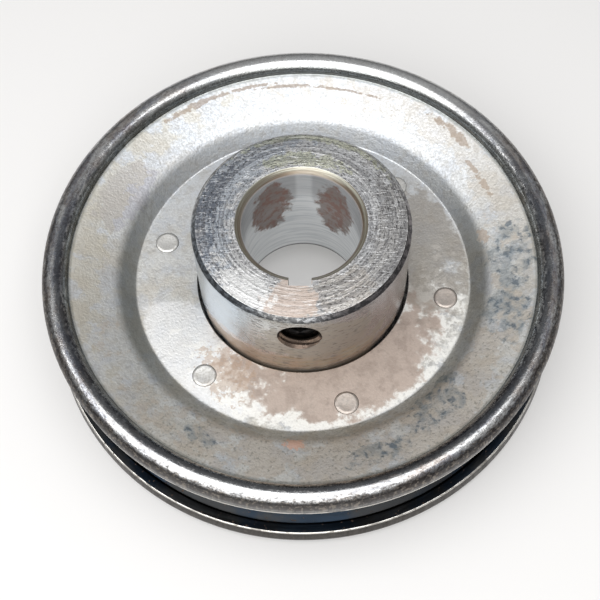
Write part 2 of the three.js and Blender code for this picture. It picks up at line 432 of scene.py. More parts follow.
def thread(section, start, turns):
    """A tooth of (radius, height) corners swept up a helix from a height on the Z axis."""
    shape = outline([(r, z + start) for r, z in section], {})
    bmesh.ops.spin(shape, geom=shape.verts[:] + shape.edges[:] + shape.faces[:], cent=(0, 0, 0),
                   axis=(0, 0, 1), dvec=(0, 0, THREAD_PITCH / THREAD_STEPS),
                   angle=math.tau * turns, steps=THREAD_STEPS * turns, use_merge=False,
                   use_duplicate=False)
    bmesh.ops.recalc_face_normals(shape, faces=shape.faces[:])
    return shape


def point_forward(shape, along=0.0):
    """Turns a shape made along +Z to lie along -Y at the set screw's height."""
    turn_down = Matrix.Rotation(math.radians(90), 4, "X")
    bmesh.ops.translate(shape, vec=(0, 0, along), verts=shape.verts[:])
    bmesh.ops.rotate(shape, cent=(0, 0, 0), matrix=turn_down, verts=shape.verts[:])
    bmesh.ops.translate(shape, vec=(0, 0, SCREW_Z), verts=shape.verts[:])
    return shape


print("thread between", THREAD_MINOR_R, "and", THREAD_MAJOR_R, "mm from its axis")

# %% [markdown]
# The hub is cut in a shop's own order: turned, broached, drilled and tapped. The keyway's floor
# has small rounded corners, like the broach's teeth, and the hole widens at its mouth, so that
# the screw starts easily.

# %% Turn, broach, drill and tap the hub
hub_piece = to_object("hub_barrel", spun(outline([
    (BORE_R, HUB_BOTTOM + BORE_CHAMFER), (BORE_R + BORE_CHAMFER, HUB_BOTTOM),
    (HUB_R - HUB_CHAMFER, HUB_BOTTOM), (HUB_R, HUB_BOTTOM + HUB_CHAMFER),
    (HUB_R, HUB_TOP - HUB_CHAMFER), (HUB_R - HUB_CHAMFER, HUB_TOP),
    (BORE_R + BORE_CHAMFER, HUB_TOP), (BORE_R, HUB_TOP - BORE_CHAMFER),
], {i: 0.18 for i in range(8)}), HUB_STEPS))

broach = bmesh.new()
bmesh.ops.create_cube(broach, size=1.0)
bmesh.ops.scale(broach, vec=(KEY_W, KEY_FLOOR_R, 3 * HUB_TOP), verts=broach.verts[:])
bmesh.ops.translate(broach, vec=(0, -KEY_FLOOR_R / 2, HUB_TOP), verts=broach.verts[:])
floor_edges = [e for e in broach.edges if all(v.co.y < -KEY_FLOOR_R + 0.1 for v in e.verts)
               and abs(e.verts[0].co.z - e.verts[1].co.z) > 1]
bmesh.ops.bevel(broach, geom=floor_edges, offset=0.25, offset_type="OFFSET", segments=3,
                profile=0.5, affect="EDGES", material=-1)
carve(hub_piece, broach)

MOUTH_R = 5.1
drill = spun(outline([(0, BORE_R / 2), (THREAD_MINOR_R, BORE_R / 2),
                      (THREAD_MINOR_R, HUB_R - (MOUTH_R - THREAD_MINOR_R)),
                      (MOUTH_R + 1, HUB_R + 1), (0, HUB_R + 1)], {}), 72)
carve(hub_piece, point_forward(drill))
TAP_START = BORE_R - 1
tap = thread([(THREAD_MINOR_R - 0.25, -0.72), (THREAD_MAJOR_R, -0.1), (THREAD_MAJOR_R, 0.1),
              (THREAD_MINOR_R - 0.25, 0.72)], TAP_START, 7)
carve(hub_piece, point_forward(tap))
print("hub has", len(hub_piece.data.polygons), "faces after tapping")

# %% [markdown]
# ## The set screw
# A cup-point socket screw: a short black rod, chamfered at one end and coned to a sharp-rimmed cup
# at the other. The die cuts a V groove along its whole length, so the thread fades out by itself
# in the chamfers. A hexagonal key socket goes in last.

# %% Turn, cut and broach the screw
SCREW_L = SCREW_FACE - SCREW_TIP
SCREW_R = 4.66
SCREW_ROOT_R = 3.92
SOCKET_AF = 4.76
SOCKET_DEPTH = 3.6
screw_piece = to_object("socket_screw", spun(outline([
    (0, 1.3), (2.3, 0), (2.5, 0), (SCREW_R, 2.0), (SCREW_R, SCREW_L - 0.75),
    (SCREW_R - 0.85, SCREW_L), (0, SCREW_L)], {2: 0.1, 5: 0.12}), 96))
hexagon = bmesh.new()
bmesh.ops.create_cone(hexagon, cap_ends=True, segments=6, radius1=SOCKET_AF / math.sqrt(3),
                      radius2=SOCKET_AF / math.sqrt(3), depth=2 * SOCKET_DEPTH)
bmesh.ops.translate(hexagon, vec=(0, 0, SCREW_L), verts=hexagon.verts[:])
carve(screw_piece, hexagon)
lead_in = spun(outline([(0, SCREW_L - 2.4), (3.2, SCREW_L + 0.4), (0, SCREW_L + 0.4)], {}), 48)
carve(screw_piece, lead_in)
turns_before = math.ceil((SCREW_TIP - TAP_START) / THREAD_PITCH) + 1
die_start = TAP_START - SCREW_TIP + (turns_before - 2.5) * THREAD_PITCH
die = thread([(SCREW_ROOT_R, -0.08), (THREAD_MAJOR_R + 0.3, -0.78), (THREAD_MAJOR_R + 0.3, 0.78),
              (SCREW_ROOT_R, 0.08)], die_start, 6)
carve(screw_piece, die)
screw_piece.data.transform(Matrix.Translation(Vector((0, 0, SCREW_TIP)) * MM))
screw_piece.data.transform(Matrix.Rotation(math.radians(90), 4, "X"))
screw_piece.data.transform(Matrix.Translation(Vector((0, 0, SCREW_Z)) * MM))
print(f"screw is {SCREW_L:.2f} mm long with its tip {SCREW_TIP:.2f} mm from the axis")

# %% [markdown]
# ## Rivets and weld
# The rivets are set nearly flush: each end is a low disc with a rounded edge and a faint dish that
# the setting tool leaves. The weld is a fillet whose ripples are the pool freezing, so its ring is
# spun smooth, and a wave then moves its face in and out.

# %% Set the rivets
DISH_R = 1.5


def rivet(name, centre):
    """A rivet through both webs, with a low dished disc at each end."""
    low, high = box_mm(name)
    top = (high.z - low.z) / 2
    section = [(0, top - 0.14), (DISH_R, top - 0.06), (RIVET_R - 0.45, top), (RIVET_R, top - 0.18),
               (RIVET_R, -top + 0.18), (RIVET_R - 0.45, -top), (DISH_R, -top + 0.06),
               (0, -top + 0.14)]
    shape = spun(outline(section, {2: 0.4, 3: 0.16, 4: 0.16, 5: 0.4}), 48)
    bmesh.ops.translate(shape, vec=centre, verts=shape.verts[:])
    return to_object(name + "_set", shape)


rivet_pieces = [rivet(f"rivet_{i + 1}", c) for i, c in enumerate(rivet_centres)]
print("rivets:", len(rivet_pieces))

# %% [markdown]
# The ring of weld metal is spun smooth. A quick wave then makes its ripples, and two slow waves
# make it swell and shrink, as it does under a hand that isn't quite steady.

# %% Lay the weld
WELD_STEPS = 360
WELD_RIPPLES = 110
RIPPLE_HEIGHT = 0.09
weld_in = weld_low.z + 0.12
weld_leg = weld_high.z - weld_low.z
weld_inner = HUB_R + 0.03
weld_shape = spun(outline([
    (weld_inner, weld_high.z + 0.08), (weld_inner, weld_in),
    (weld_inner + 0.61 * weld_leg, weld_high.z - 0.61 * weld_leg),
    (weld_inner + weld_leg, weld_high.z + 0.08)], {2: 3.0}), WELD_STEPS)
for v in weld_shape.verts:
    around = math.atan2(v.co.y, v.co.x)
    out = (math.hypot(v.co.x, v.co.y) - weld_inner) / weld_leg
    down = (weld_high.z - v.co.z) / weld_leg
    if out > 0.05 and down > 0.05:
        ripple = math.sin(around * WELD_RIPPLES + 2.0 * (out - down) ** 2)
        swell = 0.5 * math.sin(around * 7 + 1.0) + 0.5 * math.sin(around * 17)
        push = RIPPLE_HEIGHT * (0.6 * ripple + 0.4 * swell - 0.6)
        v.co += Vector((math.cos(around), math.sin(around), -1)).normalized() * push
weld_piece = to_object("weld_bead", weld_shape)
print("weld leg", round(weld_leg, 2), "mm with", WELD_RIPPLES, "ripples")

# %% [markdown]
# ## Materials: where a point is, and what happened there
# Every part of the pulley is steel. What tells the surfaces apart is how each was made and what
# has happened to it since, so each finish is a bare colour with marks laid over it. Marks follow
# the object: a lathe leaves rings, a belt wears the groove, and grease gathers round the screw.
# The first helper says where a point is, in millimetres, and the second starts a finish.

# %% Where a point is


def where(tree):
    """A point's place in millimetres, its direction from the axis, its radius and its height."""
    metres = add(tree, "ShaderNodeTexCoord", out="Object")
    place = add(tree, "ShaderNodeVectorMath", {0: metres, "Scale": 1 / MM}, operation="SCALE")
    flat = add(tree, "ShaderNodeVectorMath", {0: place, 1: (1, 1, 0)}, operation="MULTIPLY")
    return {
        "place": place,
        "direction": add(tree, "ShaderNodeVectorMath", {0: flat}, operation="NORMALIZE"),
        "radius": add(tree, "ShaderNodeVectorMath", {0: flat}, out="Value", operation="LENGTH"),
        "height": add(tree, "ShaderNodeSeparateXYZ", {0: place}, out="Z"),
    }


def start_steel(name, bare):
    """Starts a steel finish: its material, its tree, where() and its bare colour."""
    steel = bpy.data.materials.new(name)
    steel.use_nodes = True
    tree = steel.node_tree
    tree.nodes["Principled BSDF"].inputs["Base Color"].default_value = colour(bare)
    return steel, tree, where(tree), colour(bare)


print("a metre is", 1 / MM, "mm in every finish")

# %% [markdown]
# A mask is 1 where a mark is and 0 where it isn't. The next masks are made of noise: patches have
# one size every way, a lathe's or a belt's marks are drawn out round the axis, and scratches run
# straight. A smaller low and high make more of each.

# %% Masks made of noise
NOISE_ROUGHNESS = 0.55


def patches(tree, place, size, low, high, detail=5.0):
    """Soft patches of a size in millimetres. A smaller low and high make more of them."""
    noise = add(tree, "ShaderNodeTexNoise", {"Vector": place, "Scale": 1 / size,
                                             "Detail": detail, "Roughness": NOISE_ROUGHNESS})
    return add(tree, "ShaderNodeMapRange", {"Value": noise, "From Min": low, "From Max": high},
               interpolation_type="SMOOTHSTEP")


def round_the_axis(tree, here, girth, long, thin, across="radius"):
    """Coordinates for marks that run round the axis: long round a girth, and thin across it."""
    along = add(tree, "ShaderNodeVectorMath", {0: here["direction"], "Scale": girth / long},
                operation="SCALE")
    step = add(tree, "ShaderNodeMath", {0: here[across], 1: 1 / thin}, operation="MULTIPLY")
    lift = add(tree, "ShaderNodeCombineXYZ", {"Z": step})
    return add(tree, "ShaderNodeVectorMath", {0: along, 1: lift}, operation="ADD")


def scratches(tree, here, turned, long, thin, low, high):
    """Straight scratches at an angle in degrees, with a length and a width in millimetres."""
    turned_place = add(tree, "ShaderNodeMapping", {
        "Vector": here["place"], "Rotation": (0, 0, math.radians(turned)),
        "Scale": (1 / long, 1 / thin, 1 / long)})
    return patches(tree, turned_place, 1.0, low, high, detail=2.0)


print("1 mm of a mark at the rim spans", round(math.degrees(1 / RIM_R), 2), "degrees")

# %% [markdown]
# Other masks are at a named place: a band between two radii or heights, a side of the pulley, or a
# stain. A stain is an ellipse round an angle and a radius whose edge is made ragged by noise.
# Angles are in degrees, with 90 at the back and -90 at the front, where the keyway is.

# %% Masks at a named place
STAIN_EDGE = (1.2, 0.7)  # how far out a stain has ended, and how far out it is still whole


def out_from_axis(angle):
    """The flat direction from the axis at an angle in degrees."""
    return Vector((math.cos(math.radians(angle)), math.sin(math.radians(angle)), 0))


def band(tree, value, low, high, fade):
    """1 where a value is between low and high, fading to 0 outside."""
    rise = add(tree, "ShaderNodeMapRange",
               {"Value": value, "From Min": low - fade, "From Max": low},
               interpolation_type="SMOOTHSTEP")
    fall = add(tree, "ShaderNodeMapRange",
               {"Value": value, "From Min": high + fade, "From Max": high},
               interpolation_type="SMOOTHSTEP")
    return add(tree, "ShaderNodeMath", {0: rise, 1: fall}, operation="MULTIPLY")


def towards(tree, here, angle, full, none):
    """1 within full degrees of an angle round the axis, and 0 past none degrees from it."""
    facing = add(tree, "ShaderNodeVectorMath", {0: here["direction"], 1: out_from_axis(angle)},
                 out="Value", operation="DOT_PRODUCT")
    return add(tree, "ShaderNodeMapRange", {
        "Value": facing, "From Min": math.cos(math.radians(none)),
        "From Max": math.cos(math.radians(full))}, interpolation_type="SMOOTHSTEP")


def stain_at(tree, here, angle, spread, middle, width, ragged, grain, across="radius"):
    """A ragged stain round an angle in degrees and a radius (or a height) in millimetres."""
    facing = add(tree, "ShaderNodeVectorMath", {0: here["direction"], 1: out_from_axis(angle)},
                 out="Value", operation="DOT_PRODUCT")
    aside = add(tree, "ShaderNodeMapRange", {
        "Value": facing, "From Min": 1.0, "From Max": math.cos(math.radians(spread))}, clamp=False)
    off = add(tree, "ShaderNodeMath", {0: here[across], 1: middle}, operation="SUBTRACT")
    off = add(tree, "ShaderNodeMath", {0: off, 1: 1 / width}, operation="MULTIPLY")
    away = add(tree, "ShaderNodeMath", {0: off, 1: off, 2: aside}, operation="MULTIPLY_ADD")
    noise = add(tree, "ShaderNodeTexNoise",
                {"Vector": here["place"], "Scale": 1 / grain, "Detail": 6.0, "Roughness": 0.65})
    away = add(tree, "ShaderNodeMath", {0: noise, 1: 4 * ragged, 2: away}, operation="MULTIPLY_ADD")
    ended, whole = (edge + 2 * ragged for edge in STAIN_EDGE)
    return add(tree, "ShaderNodeMapRange", {"Value": away, "From Min": ended, "From Max": whole},
               interpolation_type="SMOOTHSTEP")


print("the front is at", [round(x, 2) for x in out_from_axis(-90)])

# %% [markdown]
# Marks are laid over a bare colour one by one, as they came to the real steel, so a later mark
# hides an earlier one. The same masks also change how rough a surface is, how much bare metal it
# shows, and its relief in millimetres.

# %% Laying marks on


def laid(tree, skin, *marks):
    """A colour with each (hex colour, mask, strength) laid over it in turn."""
    for code, mask, strength in marks:
        amount = add(tree, "ShaderNodeMath", {0: mask, 1: strength}, operation="MULTIPLY")
        skin = add(tree, "ShaderNodeMix", {"Factor": amount, "A": skin, "B": colour(code)},
                   out=2, data_type="RGBA")
    return skin


def level(tree, start, *changes):
    """A number that starts somewhere and is changed by each (mask, change)."""
    total = start
    for mask, change in changes:
        total = add(tree, "ShaderNodeMath", {0: mask, 1: change, 2: total},
                    operation="MULTIPLY_ADD")
    return total


def surface(steel, skin, rough, metallic, relief):
    """Joins a finish to its shader: colour, roughness, bare metal and a relief in millimetres."""
    tree = steel.node_tree
    shader = tree.nodes["Principled BSDF"]
    bump = add(tree, "ShaderNodeBump", {"Height": relief, "Distance": MM}, out="Normal")
    for name, value in (("Base Color", skin), ("Roughness", rough), ("Metallic", metallic),
                        ("Normal", bump)):
        if isinstance(value, bpy.types.NodeSocket):
            tree.links.new(value, shader.inputs[name])
        else:
            shader.inputs[name].default_value = value
    print(steel.name, "has", len(tree.nodes), "nodes")


print("a relief of 0.01 is", round(0.01 * MM, 6), "m high")

# %% [markdown]
# ## Zinc-plated sheet: the web and the dish
# Bright zinc on rolled sheet is a soft grey mirror. It has a fine grain, and over the years it
# goes patchy: warm where the passivation has gone, cool where it is left. At the back a cool
# blue tint is painted on: a painted reflection, where the sheet mirrors the light.

# %% Bare sheet and its grain
GRAIN = 0.5  # rolled grain is finer than this: it is drawn coarser so that it shows
WEB_FADE = 0.6  # how far inside the web's edge its wear starts to fade

sheet, tree, here, skin = start_steel("zinc_plated_sheet", "#E6E6E3")
on_web = band(tree, here["radius"], 0, WEB_R - WEB_FADE, 0.5)
far_side = towards(tree, here, 90, 25, 95)
near_side = towards(tree, here, -75, 35, 85)
warm = patches(tree, here["place"], 8.0, 0.45, 0.62)
cool = patches(tree, here["place"], 5.0, 0.47, 0.62)
film_and_painted_shade = patches(tree, here["place"], 2.2, 0.50, 0.62)
grain = patches(tree, here["place"], GRAIN, 0.36, 0.62, detail=2.0)
coarse = patches(tree, here["place"], 1.1, 0.48, 0.66, detail=3.0)
# The far side's cool blue tint is a painted reflection, where the dish mirrors the light.
skin = laid(tree, skin, ("#D4CDC0", warm, 0.6), ("#CFD4DC", cool, 0.5), ("#D9E0EA", far_side, 0.55),
            ("#C9C3B9", film_and_painted_shade, 0.25), ("#AFAEAA", grain, 0.3), ("#9B9A97", coarse, 0.18))
print("grain of", GRAIN, "mm on the sheet")

# %% [markdown]
# On the near and right side of the web, rubbing has worn the plating to a beige film. Its white,
# powdery edge is zinc's own corrosion. To its left the plating is clean and pale, and behind it
# lies an older, greyer film. All four stop at the step round the web.

# %% The worn film on the web
pale, powder, worn, old = (
    add(tree, "ShaderNodeMath", {0: stain_at(tree, here, *stain), 1: on_web}, operation="MULTIPLY")
    for stain in ((-134, 36, 31.0, 9.0, 0.7, 9.0), (-66, 66, 29.5, 9.8, 1.3, 2.6),
                  (-66, 54, 27.4, 8.9, 0.9, 4.0), (16, 40, 29.0, 9.0, 1.2, 7.0)))
film_spots = stain_at(tree, here, -124, 12, 29.0, 5.0, ragged=2.2, grain=1.5)
worn_clouds = patches(tree, here["place"], 3.0, 0.45, 0.62)
worn_dark = add(tree, "ShaderNodeMath", {0: worn_clouds, 1: worn}, operation="MULTIPLY")
skin = laid(tree, skin, ("#FFFFFF", pale, 0.65), ("#F8F7F3", powder, 0.85), ("#BFAFA4", worn, 0.92),
            ("#A29A90", old, 0.65), ("#A99A90", worn_dark, 0.5), ("#BFA58E", film_spots, 0.5))
print("the web's wear starts to fade", round(WEB_R - WEB_FADE, 1), "mm from the axis")

# %% [markdown]
# Near the rim, water has stood in the dish and left thin brown arcs, with faint straw films round
# them and a mauve cloud on the left. Each arc is a stain that is wide round the axis and narrow
# across it.

# %% Water marks on the dish
WATER_MARKS = (  # angle, spread, radius and width of each
    (112, 12, 50.1, 0.4), (95, 9, 49.2, 0.3), (80, 12, 48.8, 0.3), (122, 8, 50.2, 0.7),
    (48, 5, 50.0, 0.8), (43, 3, 49.4, 0.9), (28, 4, 46.8, 0.8), (34, 3, 47.0, 0.5),
    (12, 2.6, 41.6, 1.2))

brown = 0.0
for mark in WATER_MARKS:
    arc = stain_at(tree, here, *mark, ragged=1.9, grain=1.6)
    brown = add(tree, "ShaderNodeMath", {0: brown, 1: arc}, operation="MAXIMUM")
mauve_cloud = stain_at(tree, here, 156, 13, 45.5, 4.5, ragged=1.4, grain=5.0)
rim_film = stain_at(tree, here, 33, 50, 48.5, 4.0, ragged=2.0, grain=3.5)
left_film = stain_at(tree, here, 165, 40, 48.5, 4.0, ragged=2.2, grain=5.0)
near_film = stain_at(tree, here, -70, 62, 46.0, 6.0, ragged=2.0, grain=6.0)
skin = laid(tree, skin, ("#A9A8B4", mauve_cloud, 0.5), ("#CBBDA8", rim_film, 0.25),
            ("#CBC3B0", left_film, 0.4), ("#CCBFAF", near_film, 0.45), ("#A8917B", brown, 0.55))
print("water marks:", len(WATER_MARKS))

# %% [markdown]
# Slate-grey corrosion grows in veins through the zinc, with a paler haze round them. It is
# thickest on the right of the dish and near the front.

# %% Slate-grey veins
SLATE_PLACES = (  # angle, spread, radius and width of each
    (3, 11, 46.5, 5.0), (-14, 8, 46.5, 5.5), (-51, 9, 44.5, 4.0), (-44, 8, 41.5, 2.0),
    (-70, 9, 47.5, 3.0), (-116, 5, 45.8, 2.0))

slate = 0.0
for mark in SLATE_PLACES:
    patch = stain_at(tree, here, *mark, ragged=1.2, grain=5.0)
    slate = add(tree, "ShaderNodeMath", {0: slate, 1: patch}, operation="MAXIMUM")
haze = patches(tree, here["place"], 3.0, 0.36, 0.60, detail=9.0)
haze = add(tree, "ShaderNodeMath", {0: slate, 1: haze}, operation="MULTIPLY")
veins = patches(tree, here["place"], 1.5, 0.50, 0.66, detail=9.0)
slate = add(tree, "ShaderNodeMath", {0: slate, 1: veins}, operation="MULTIPLY")
skin = laid(tree, skin, ("#8A959C", haze, 0.55), ("#46596A", slate, 0.6))
print("places with slate-grey veins:", len(SLATE_PLACES))

# %% [markdown]
# Last come the small things: dark specks near the front, fewer of them on the web, and one spot of
# rust. Painted shade darkens the step's steep wall, except on the lit far side, and the crease
# under the bead.

# %% Specks, rust, painted shade in the step and crease, and the finished sheet
specks = patches(tree, here["place"], 0.7, 0.56, 0.66, detail=3.0)
speck_side = add(tree, "ShaderNodeMath", {0: on_web, 1: -0.7, 2: near_side},
                 operation="MULTIPLY_ADD", use_clamp=True)
specks = add(tree, "ShaderNodeMath", {0: specks, 1: speck_side}, operation="MULTIPLY")
on_front_half = band(tree, here["height"], JOINT_Z, HUB_TOP, 0.4)
rust_spot = stain_at(tree, here, -91.5, 3.0, 41.9, 1.4, ragged=1.6, grain=1.2)
rust_spot = add(tree, "ShaderNodeMath", {0: rust_spot, 1: on_front_half}, operation="MULTIPLY")
# Painted shade on the step's steep wall, left off the far side, which is lit.
step_painted_shade = band(tree, here["radius"], WEB_R + 0.8, step_top[0] - 1.0, 1.6)
step_painted_shade = add(tree, "ShaderNodeMath", {0: far_side, 1: -1.0, 2: step_painted_shade},
              operation="MULTIPLY_ADD", use_clamp=True)
# Painted shade in the crease under the bead.
sheet_crease_painted_shade = band(tree, here["radius"], CREASE_R - 0.35, RIM_R, 0.5)
skin = laid(tree, skin, ("#6E6F66", specks, 0.4), ("#CF9E84", rust_spot, 0.7),
            ("#6F7369", step_painted_shade, 0.4), ("#5A6058", sheet_crease_painted_shade, 0.4))
rough = level(tree, 0.40, (near_side, 0.12), (grain, 0.10), (worn, 0.08), (powder, 0.08),
              (brown, 0.15), (slate, 0.1))
metallic = level(tree, 1.0, (worn, -0.25), (powder, -0.2), (brown, -0.3), (rust_spot, -0.4))
relief = level(tree, 0.0, (grain, 0.012), (coarse, -0.010), (powder, 0.01), (slate, 0.015))
surface(sheet, skin, rough, metallic, relief)

# %% [markdown]
# ## The rolled bead
# Rolling the edge over stretches and burnishes it, so the bead is the shiniest part and mirrors
# the whole room. Handling and damp have mottled its left and right sides with blue-black and brown
# marks, drawn out round the rim, and pitted it.

# %% Burnished bead and its mottling
bead, tree, here, skin = start_steel("zinc_plated_bead", "#E0E1E1")
mottled = patches(tree, round_the_axis(tree, here, RIM_R, 1.8, 0.5), 1.0, 0.46, 0.60, detail=6.0)
flecks = patches(tree, round_the_axis(tree, here, RIM_R, 0.7, 0.4), 1.0, 0.50, 0.60, detail=4.0)
across = patches(tree, round_the_axis(tree, here, RIM_R, 0.55, 3.0), 1.0, 0.40, 0.64, detail=3.0)
brown_haze = patches(tree, round_the_axis(tree, here, RIM_R, 7.0, 2.0), 1.0, 0.44, 0.60)
blue_haze = patches(tree, round_the_axis(tree, here, RIM_R, 9.0, 1.6), 1.0, 0.46, 0.60)
pits = patches(tree, here["place"], 0.55, 0.52, 0.62, detail=2.0)
left_side = towards(tree, here, 178, 35, 75)
right_side = towards(tree, here, -20, 40, 75)
sides = level(tree, 0.15, (left_side, 0.5), (right_side, 0.5))
spots, brown_spots, blue_spots, fleck_spots = (
    add(tree, "ShaderNodeMath", {0: mask, 1: sides}, operation="MULTIPLY")
    for mask in (mottled, brown_haze, blue_haze, flecks))
skin = laid(tree, skin, ("#3E424C", spots, 0.75), ("#86705F", brown_spots, 0.7),
            ("#3C4C6E", blue_spots, 0.65), ("#5C4B40", fleck_spots, 0.65), ("#6F6E70", pits, 0.25),
            ("#A3A3A3", across, 0.25))
print("the bead's rim is", round(RIM_R, 2), "mm from the axis")

# %% [markdown]
# The bead's outer wall is painted dark as painted shade, chipped in flecks, and the shade gets
# lighter towards the back. Painted shade also lies along its inner shoulder, except at the back,
# and at the crease. The rear bead is painted dark brown as painted shade. The edge of the front
# lip has been rubbed bare, and a painted highlight shows it as a bright, broken line.

# %% Painted shade and a painted highlight on the bead, and the finished bead
back = towards(tree, here, 100, 20, 85)
shoulder = level(tree, here["radius"], (mottled, 0.4), (flecks, 0.3), (pits, 0.2))
outer = band(tree, shoulder, RIM_R - 0.4, RIM_R + 10.0, 1.3)
# Painted shade on the bead's outer wall, lighter towards the back.
film_and_painted_shade = level(tree, 0.95, (back, -0.65))
film_and_painted_shade = add(tree, "ShaderNodeMath", {0: film_and_painted_shade, 1: outer}, operation="MULTIPLY")
chipped = patches(tree, round_the_axis(tree, here, RIM_R, 0.8, 0.3), 1.0, 0.52, 0.62)
chipped = add(tree, "ShaderNodeMath", {0: chipped, 1: film_and_painted_shade}, operation="MULTIPLY")
# Painted shade along the bead's inner shoulder, left off the back.
shoulder_painted_shade = band(tree, shoulder, CREASE_R + 1.7, CREASE_R + 2.5, 0.7)
not_back = level(tree, 1.0, (back, -1.0))
shoulder_painted_shade = add(tree, "ShaderNodeMath", {0: shoulder_painted_shade, 1: not_back}, operation="MULTIPLY")
# Painted shade at the bead's crease.
inner = band(tree, here["radius"], 0, CREASE_R + 0.7, 0.5)
crease_line = band(tree, here["radius"], 0, CREASE_R + 0.15, 0.2)
# Painted shade: the rear bead is painted dark brown.
rear = band(tree, here["height"], -9.0, JOINT_Z - LIP_H, 1.0)
# Painted highlight: a bright, broken line along the front lip's rubbed edge.
lip_line = band(tree, here["height"], JOINT_Z, JOINT_Z + LIP_H + 0.9, 0.25)
lip_highlight_breaks = patches(tree, round_the_axis(tree, here, RIM_R, 5.0, 1.0), 1.0, 0.36, 0.46)
lip_line = add(tree, "ShaderNodeMath", {0: lip_line, 1: lip_highlight_breaks}, operation="MULTIPLY")
skin = laid(tree, skin, ("#7E877F", inner, 0.3), ("#2F343C", shoulder_painted_shade, 0.75), ("#3F3B39", film_and_painted_shade, 0.95),
            ("#9C948A", chipped, 0.6), ("#35302A", rear, 0.85), ("#F2EFE8", lip_line, 0.95),
            ("#4A504A", crease_line, 0.35))
rough = level(tree, 0.15, (spots, 0.10), (pits, 0.10), (across, 0.06), (film_and_painted_shade, 0.15))
relief = level(tree, 0.0, (pits, -0.006), (flecks, -0.005), (across, 0.003))
surface(bead, skin, rough, 1.0, relief)

# %% [markdown]
# ## The groove wall
# The belt has polished the wall and left rubber on it, in streaks that run round the axis, with
# small brown crumbs. The wall is almost black, partly from rubber and partly as painted shade in
# the groove, with a painted blue sheen.

# %% Groove wall
# Almost black: partly belt rubber and partly painted shade in the groove. The blue is a painted
# sheen.
groove, tree, here, skin = start_steel("groove_rubber_and_painted_shade", "#2C2D2E")
streaky = patches(tree, round_the_axis(tree, here, RIM_R, 9.0, 1.2), 1.0, 0.40, 0.66)
painted_blue_sheen = patches(tree, here["place"], 14.0, 0.45, 0.6)
crumbs = patches(tree, here["place"], 0.8, 0.64, 0.72, detail=3.0)
skin = laid(tree, skin, ("#3E4042", streaky, 0.6), ("#17293A", painted_blue_sheen, 0.7),
            ("#6A5240", crumbs, 0.7))
rough = level(tree, 0.30, (streaky, 0.12), (crumbs, 0.25))
metallic = level(tree, 0.85, (crumbs, -0.5))
relief = level(tree, 0.0, (crumbs, 0.02), (streaky, 0.006))
surface(groove, skin, rough, metallic, relief)

# %% [markdown]
# ## The cut edges
# The cut end of the sheet has no plating: it is bare, bright steel, nicked along its edge and
# dulled in places.

# %% Cut edge
cut_edge, tree, here, skin = start_steel("sheared_bare_edge", "#E9E6E0")
nicks = patches(tree, round_the_axis(tree, here, RIM_R, 2.0, 0.6), 1.0, 0.56, 0.62)
dull = patches(tree, here["place"], 9.0, 0.54, 0.62)
skin = laid(tree, skin, ("#6B5F52", nicks, 0.6), ("#75706A", dull, 0.6))
rough = level(tree, 0.25, (nicks, 0.2), (dull, 0.1))
surface(cut_edge, skin, rough, 1.0, level(tree, 0.0, (nicks, -0.01)))

# %% [markdown]
# ## The turned hub's end faces
# A lathe tool leaves rings round the bore, and thin plating over them breaks light into faint blue
# and straw. The face has been knocked and scratched every way. Real scratches are a few hundredths
# of a millimetre wide, and the tool's feed is about 0.15 mm: both are drawn coarser so that they
# show.

# %% Rings, knocks and scratches
RING_PITCH = 0.65
SCRATCH_WIDTH = 0.16
SCRATCH_RUNS = ((12, 3.2), (50, 2.4), (85, 3.6), (125, 2.8), (160, 3.8))  # angle and length

hub_face, tree, here, skin = start_steel("zinc_plated_turned_face", "#F8F8F8")
rings = patches(tree, round_the_axis(tree, here, HUB_R, 22.0, RING_PITCH), 1.0, 0.42, 0.58,
                detail=2.0)
wide_rings = patches(tree, round_the_axis(tree, here, HUB_R, 30.0, 1.7), 1.0, 0.42, 0.60)
pebbled = patches(tree, here["place"], 0.5, 0.46, 0.58, detail=4.0)
dents = patches(tree, round_the_axis(tree, here, HUB_R, 0.8, 0.3), 1.0, 0.52, 0.62, detail=3.0)
scratched = 0.0
for turned, long in SCRATCH_RUNS:
    lines = scratches(tree, here, turned, long, SCRATCH_WIDTH, 0.66, 0.70)
    scratched = add(tree, "ShaderNodeMath", {0: scratched, 1: lines}, operation="MAXIMUM")
print("scratches run", len(SCRATCH_RUNS), "ways")

# %% [markdown]
# The tints are stains: blue and navy on the left, a dark worn patch on the right and straw at the
# back. In front of the keyway the plating has been rubbed to beige, with a greyer patch to its
# right. The white patch to its left is a painted highlight, where the lathe's rings catch the
# light.

# %% Tints on the face, and the finished face
blue_side = stain_at(tree, here, 150, 60, 19.5, 5.5, ragged=1.6, grain=2.5)
navy = stain_at(tree, here, 175, 36, 21.0, 2.6, ragged=2.8, grain=0.9)
dark_right = stain_at(tree, here, -18, 55, 20.5, 4.5, ragged=2.0, grain=1.6)
